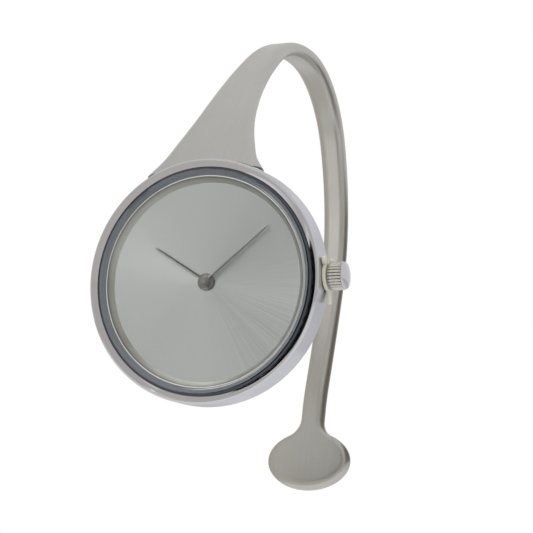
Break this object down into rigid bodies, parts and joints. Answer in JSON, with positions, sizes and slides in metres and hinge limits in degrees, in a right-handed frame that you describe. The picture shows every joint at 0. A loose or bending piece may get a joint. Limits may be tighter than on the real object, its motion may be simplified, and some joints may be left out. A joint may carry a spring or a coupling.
{
  "type": "bangle watch",
  "caption": "Slim round wristwatch with two needle hands, a fluted crown held out by a stop clip, and a rigid open steel bangle that narrows from the case to an oval end.",
  "frame": {"origin": "centre of the space for the wrist, midway between the case back and the band behind it", "axes": "+X to 3 o'clock along the wrist, +Y from the dial through the case to the back of the bangle, +Z to 12 o'clock"},
  "size_m": [0.0371, 0.0538, 0.0658],
  "materials": {
    "polished_steel": "mirror polished",
    "satin_steel": "fine satin with softly polished edges",
    "mineral_glass": "clear polished, ground edge",
    "sunray_silver": "silver sunray brushing under clear lacquer",
    "hand_steel": "polished dark steel, faceted",
    "nylon": "smooth",
    "brass": "fine turned",
    "nickel_plate": "plated, fine grained",
    "gear_steel": "cut and burnished",
    "magnet": "sintered",
    "soft_iron": "stamped",
    "copper_wire": "enamelled winding",
    "green_board": "solder mask",
    "black_resin": "moulded",
    "blue_film": "thin film",
    "holder_plastic": "moulded",
    "black_rubber": "moulded",
    "cream_plastic": "moulded, slightly translucent"
  },
  "bodies": {
    "case": {"case_body": "polished_steel", "bangle": "satin_steel", "crystal": "mineral_glass", "crystal_gasket": "nylon", "flange_ring": "polished_steel", "dial": "sunray_silver", "crown_tube": "polished_steel", "main_plate": "brass", "train_bridge": "nickel_plate", "bridge_screws": "gear_steel", "stator": "soft_iron", "coil_core": "soft_iron", "coil": "copper_wire", "circuit_board": "green_board", "quartz_can": "nickel_plate", "chip": "black_resin", "battery": "nickel_plate", "battery_insulator": "blue_film", "battery_clamp": "nickel_plate", "movement_holder": "holder_plastic", "case_back": "satin_steel", "case_back_gasket": "black_rubber"},
    "crown_gasket": {"crown_gasket": "black_rubber"},
    "crown": {"crown": "polished_steel", "stem": "gear_steel"},
    "clutch": {"sliding_pinion": "gear_steel"},
    "setting_wheel": {"setting_wheel": "gear_steel"},
    "minute_wheel": {"minute_wheel": "brass"},
    "minute_hand": {"cannon_pinion": "gear_steel", "minute_hand": "hand_steel"},
    "hour_hand": {"hour_wheel": "brass", "hour_hand": "hand_steel"},
    "centre_wheel": {"centre_wheel": "brass"},
    "third_wheel": {"third_wheel": "brass"},
    "fourth_wheel": {"fourth_wheel": "brass"},
    "fifth_wheel": {"fifth_wheel": "brass"},
    "rotor": {"rotor": "magnet"},
    "setting_lever": {"setting_lever": "gear_steel"},
    "crown_stop_clip": {"crown_stop_clip": "cream_plastic"}
  },
  "joints": [
    {"name": "clip_pull", "type": "slide", "parent": "case", "child": "crown_stop_clip", "axis": [0, 0, -1], "range_m": [0, 0.016]},
    {"name": "crown_push", "type": "slide", "parent": "case", "child": "crown_gasket", "axis": [-1, 0, 0], "range_m": [0, 0.0008]},
    {"name": "setting_lever_turn", "type": "hinge", "parent": "case", "child": "setting_lever", "pos_m": [0.00903, -0.02482, -0.00874], "axis": [0, 1, 0], "range_deg": [0, 25.75]},
    {"name": "crown_turn", "type": "hinge", "parent": "crown_gasket", "child": "crown", "pos_m": [0.01762, -0.02541, -0.01049], "axis": [1, 0, 0], "continuous": true},
    {"name": "clutch_turn", "type": "hinge", "parent": "case", "child": "clutch", "pos_m": [0.00711, -0.02541, -0.01049], "axis": [1, 0, 0], "continuous": true},
    {"name": "setting_wheel_turn", "type": "hinge", "parent": "case", "child": "setting_wheel", "pos_m": [0.00602, -0.02611, -0.01049], "axis": [0, 1, 0], "continuous": true},
    {"name": "minute_wheel_turn", "type": "hinge", "parent": "case", "child": "minute_wheel", "pos_m": [0.0028, -0.02616, -0.01049], "axis": [0, 1, 0], "continuous": true},
    {"name": "minute_hand_turn", "type": "hinge", "parent": "case", "child": "minute_hand", "pos_m": [0, -0.02682, -0.01049], "axis": [0, 1, 0], "continuous": true},
    {"name": "hour_hand_turn", "type": "hinge", "parent": "case", "child": "hour_hand", "pos_m": [0, -0.02682, -0.01049], "axis": [0, 1, 0], "continuous": true},
    {"name": "rotor_turn", "type": "hinge", "parent": "case", "child": "rotor", "pos_m": [-0.00416, -0.02482, -0.00658], "axis": [0, 1, 0], "continuous": true},
    {"name": "fifth_wheel_turn", "type": "hinge", "parent": "case", "child": "fifth_wheel", "pos_m": [-0.00231, -0.02482, -0.00591], "axis": [0, 1, 0], "continuous": true},
    {"name": "fourth_wheel_turn", "type": "hinge", "parent": "case", "child": "fourth_wheel", "pos_m": [-0.00039, -0.02482, -0.00591], "axis": [0, 1, 0], "continuous": true},
    {"name": "third_wheel_turn", "type": "hinge", "parent": "case", "child": "third_wheel", "pos_m": [0.00153, -0.02482, -0.00784], "axis": [0, 1, 0], "continuous": true},
    {"name": "centre_wheel_turn", "type": "hinge", "parent": "case", "child": "centre_wheel", "pos_m": [0, -0.02482, -0.01049], "axis": [0, 1, 0], "continuous": true}
  ],
  "couplings": [
    {"joint": "crown_push", "follows": "clip_pull", "ratio": 0.05},
    {"joint": "setting_lever_turn", "follows": "clip_pull", "rad_per_m": 28.089},
    {"joint": "clutch_turn", "follows": "crown_turn", "ratio": 1},
    {"joint": "setting_wheel_turn", "follows": "crown_turn", "ratio": 0.625},
    {"joint": "minute_wheel_turn", "follows": "crown_turn", "ratio": -0.33333},
    {"joint": "minute_hand_turn", "follows": "crown_turn", "ratio": 1},
    {"joint": "hour_hand_turn", "follows": "crown_turn", "ratio": 0.083333},
    {"joint": "fifth_wheel_turn", "follows": "rotor_turn", "ratio": -0.16667},
    {"joint": "fourth_wheel_turn", "follows": "rotor_turn", "ratio": 0.033333},
    {"joint": "third_wheel_turn", "follows": "rotor_turn", "ratio": -0.0044444},
    {"joint": "centre_wheel_turn", "follows": "rotor_turn", "ratio": 0.00055556}
  ]
}
